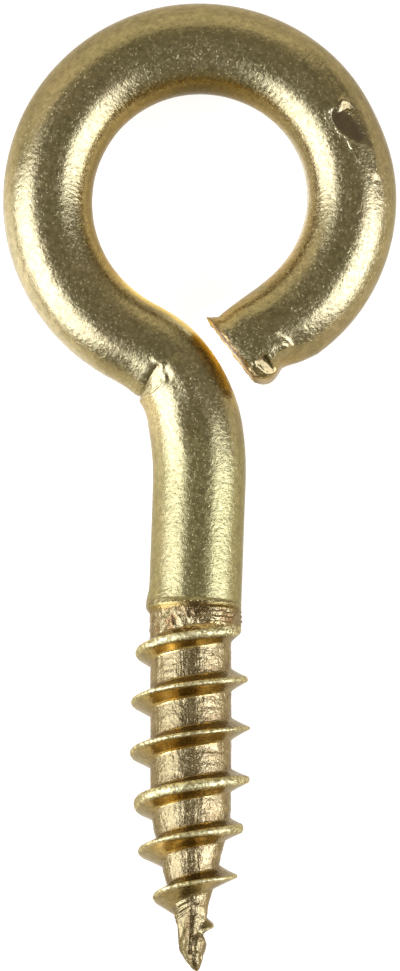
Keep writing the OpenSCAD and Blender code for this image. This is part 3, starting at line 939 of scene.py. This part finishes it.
    # height, in hundredths of a millimetre
    fine = m.noise(tube, 8.0, 3, 0.6)
    peel = m.noise(m.stretch(tube, (1.5, 1, 1), (2, 2, 2)), 6.5, 2, 0.5)
    across = m.noise(m.stretch(tube, (11.0, 1.6, 1.6), (5, 1, 1)), 1.0, 2, 0.5)
    along = m.noise(m.stretch(tube, (0.9, 9.0, 9.0), (1, 5, 3)), 1.0, 2, 0.6)
    grit = m.noise(m.stretch(tube, (1, 1, 1), (9, 4, 6)), 13.0, 3, 0.6)
    dots = m.ramp(m.noise(m.stretch(tube, (1, 1, 1), (31, 8, 2)), 12.0, 1, 0.5), 0.60, 0.70)
    h = m.math("MULTIPLY", fine, H_FINE)
    h = m.math("MULTIPLY_ADD", peel, H_PEEL, h)
    h = m.math("MULTIPLY_ADD", dots, H_DOTS, h)
    h = m.math("MULTIPLY_ADD", m.math("MULTIPLY", across, m.math("MULTIPLY_ADD", bend, 0.65, 0.35)), H_ACROSS, h)
    calm = m.math("SUBTRACT", 1.0, m.math("MULTIPLY", smooth_bits, 0.75))
    h = m.math("MULTIPLY", h, calm)
    worn = m.math("MAXIMUM", core, collar)
    h = m.math("MULTIPLY_ADD", m.math("MULTIPLY", grit, worn), H_GRIT, h)
    h = m.math("MULTIPLY_ADD", m.math("MULTIPLY", along, m.math("SUBTRACT", worn, m.math("MULTIPLY", collar, 0.7))), H_ALONG, h)
    dents = m.noise(m.stretch(tube, (1, 1, 1), (3, 19, 2)), 4.2, 1, 0.5)
    h = m.math("MULTIPLY_ADD", m.math("MULTIPLY", dents, m.math("MULTIPLY_ADD", core, 0.35, collar)), 6.5, h)
    h = m.math("MULTIPLY_ADD", m.math("MULTIPLY", grit, m.math("MAXIMUM", crest, cut)), H_CREST, h)
    h = m.math("MULTIPLY_ADD", line, 1.2, h)
    bump = m.add("ShaderNodeBump")
    bump.inputs["Strength"].default_value = 1.0
    bump.inputs["Distance"].default_value = 1.0e-5
    m.link(h, bump.inputs["Height"])
    out = m.add("ShaderNodeOutputMaterial")
    bsdf = m.add("ShaderNodeBsdfPrincipled")
    bsdf.inputs["Metallic"].default_value = 1.0
    bsdf.inputs["Specular Tint"].default_value = (*EDGE, 1.0)
    m.link(base, bsdf.inputs["Base Color"])
    m.link(rough, bsdf.inputs["Roughness"])
    m.link(bump.outputs[0], bsdf.inputs["Normal"])
    m.link(bsdf.outputs[0], out.inputs["Surface"])
    return m.material


WIRE_A, WIRE_B, WIRE_C = (0.248, 0.198, 0.083), (0.268, 0.206, 0.088), (0.228, 0.176, 0.075)
# the plain shank, then a dull colour for random patches and for painted shade
PLAIN, DULL = (0.247, 0.206, 0.074), (0.180, 0.138, 0.053)
# painted reflection: warm gold
GLOW = (0.385, 0.234, 0.037)
# painted shade inside the eye
DUSK = (0.100, 0.066, 0.016)
# painted reflection and highlight: bright gold
HOT = (1.0, 0.73, 0.17)
KNOCK = (0.136, 0.094, 0.054)
# painted highlight on the knock's lip
LIP = (0.76, 0.66, 0.36)
CORE_A, CORE_B, CORE_C = (0.272, 0.202, 0.084), (0.215, 0.150, 0.058), (0.070, 0.044, 0.019)
# rust colour, then a dark colour for stains and painted shade, then the painted shade on the collar's step
RUST, STAIN, LEDGE = (0.150, 0.085, 0.028), (0.095, 0.055, 0.019), (0.185, 0.118, 0.024)
# brighter flank golds, partly painted reflection, then the painted highlight colour
FLANK_A, FLANK_B, SHINE = (0.48, 0.318, 0.084), (0.40, 0.252, 0.062), (0.82, 0.58, 0.20)
CREST_A, CREST_B = (0.58, 0.49, 0.215), (0.28, 0.218, 0.084)
CUT_A, CUT_B = (0.42, 0.275, 0.095), (0.15, 0.092, 0.032)
EDGE = (0.86, 0.82, 0.72)
ROUGH, FROST, GRAIN = 0.215, 0.12, 0.10
H_FINE, H_PEEL, H_DOTS, H_ACROSS, H_GRIT, H_ALONG, H_CREST = 0.95, 0.9, 0.40, 1.1, 2.2, 1.5, 2.2

mesh.materials.append(brass())
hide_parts("screw_eye")
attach(piece, "root")

# ------------------------------------------------------------------ floor, light, camera
scene = bpy.context.scene
scene.view_settings.view_transform = "Standard"
scene.view_settings.look = "None"
scene.view_settings.exposure = 0.0
scene.view_settings.gamma = 1.0

world = bpy.data.worlds.new("studio")
scene.world = world
world.use_nodes = True
world.node_tree.nodes["Background"].inputs["Color"].default_value = (1.0, 0.99, 0.96, 1)
world.node_tree.nodes["Background"].inputs["Strength"].default_value = 0.46

fm = bpy.data.meshes.new("floor")
gx = np.concatenate([[-1.5, -0.4, -0.1, -0.04], np.arange(-0.020, 0.02001, 0.0005), [0.04, 0.1, 0.4, 1.5]])
FX, FY = np.meshgrid(gx, gx, indexing="ij")
n_g = len(gx)
idx = np.arange(n_g * n_g).reshape(n_g, n_g)
fm.from_pydata(np.stack([FX.ravel(), FY.ravel(), np.zeros(FX.size)], 1).tolist(), [],
               np.stack([idx[:-1, :-1], idx[1:, :-1], idx[1:, 1:], idx[:-1, 1:]], -1).reshape(-1, 4).tolist())
# painted pools of light in its glow, in mm: x, y, wide, high, how strong
pool = np.zeros(FX.shape)
for px, py, wx, wy, k in ((-10.4, 6.3, 4.8, 4.6, 2.2), (-8.0, -1.0, 6.0, 7.0, 0.50), (2.3, 9.4, 1.1, 1.8, 2.0),
                          (8.6, 6.2, 2.6, 3.4, 0.3), (1.0, 4.45, 0.65, 0.7, 5.6), (-4.6, 3.4, 2.6, 2.4, 0.9)):
    pool += k * np.exp(-((FX * 1000 - px) / wx) ** 2 - ((FY * 1000 - py) / wy) ** 2)
layer = fm.attributes.new("pool", "FLOAT", "POINT")
layer.data.foreach_set("value", pool.ravel().astype(np.float32))
floor = bpy.data.objects.new("floor", fm)
scene.collection.objects.link(floor)
fmat = Nodes("pale_floor")
fo = fmat.add("ShaderNodeOutputMaterial")
fb = fmat.add("ShaderNodeBsdfPrincipled")
fb.inputs["Base Color"].default_value = (0.24, 0.20, 0.14, 1)
fb.inputs["Roughness"].default_value = 0.9
fb.inputs["Specular IOR Level"].default_value = 0.0
# the floor glows evenly, and brighter and bluer in the painted pools
fmat.link(fmat.mix(fmat.ramp(fmat.attr("pool"), 0.2, 1.8), (1.0, 0.98, 0.955), (0.92, 1.0, 1.28)), fb.inputs["Emission Color"])
fmat.link(fmat.math("ADD", fmat.attr("pool"), 0.86), fb.inputs["Emission Strength"])
fmat.link(fb.outputs[0], fo.inputs["Surface"])
fm.materials.append(fmat.material)


def softbox(name, azimuth, elevation, distance, wide, high, radiance, colour):
    light = bpy.data.lights.new(name, "AREA")
    light.shape = "RECTANGLE"
    light.size, light.size_y = wide, high
    light.energy = radiance * math.pi * wide * high
    light.color = colour
    o = bpy.data.objects.new(name, light)
    a, el = math.radians(azimuth), math.radians(elevation)
    o.location = distance * Vector((math.cos(el) * math.cos(a), math.cos(el) * math.sin(a), math.sin(el)))
    o.rotation_euler = (-o.location).to_track_quat("-Z", "Y").to_euler()
    o.visible_camera = False
    scene.collection.objects.link(o)
    return o


softbox("softbox_left", 194, 27, 0.30, 0.33, 0.30, 7.3, (0.86, 1.0, 1.56))
softbox("softbox_right", 346.5, 28, 0.30, 0.225, 0.28, 7.5, (0.86, 1.0, 1.56))
softbox("white_card", 106, 18, 0.36, 0.80, 0.24, 1.07, (1.0, 0.97, 0.92))

DELTA = math.radians(7.0)
FRAME_H = 971 * 0.0307e-3      # the long side, which the sensor width stands for
DIST = 0.35
cam_data = bpy.data.cameras.new("camera")
cam_data.sensor_fit = "AUTO"
cam_data.sensor_width = 36.0
cam_data.lens = 36.0 * DIST / FRAME_H
cam_data.clip_start, cam_data.clip_end = 0.01, 20.0
camera = bpy.data.objects.new("camera", cam_data)
target = Vector((0.0061e-3, 0.0065e-3, 1.495e-3))
camera.location = target + DIST * Vector((0, -math.sin(DELTA), math.cos(DELTA)))
camera.rotation_euler = (DELTA, 0, 0)
scene.collection.objects.link(camera)
scene.camera = camera
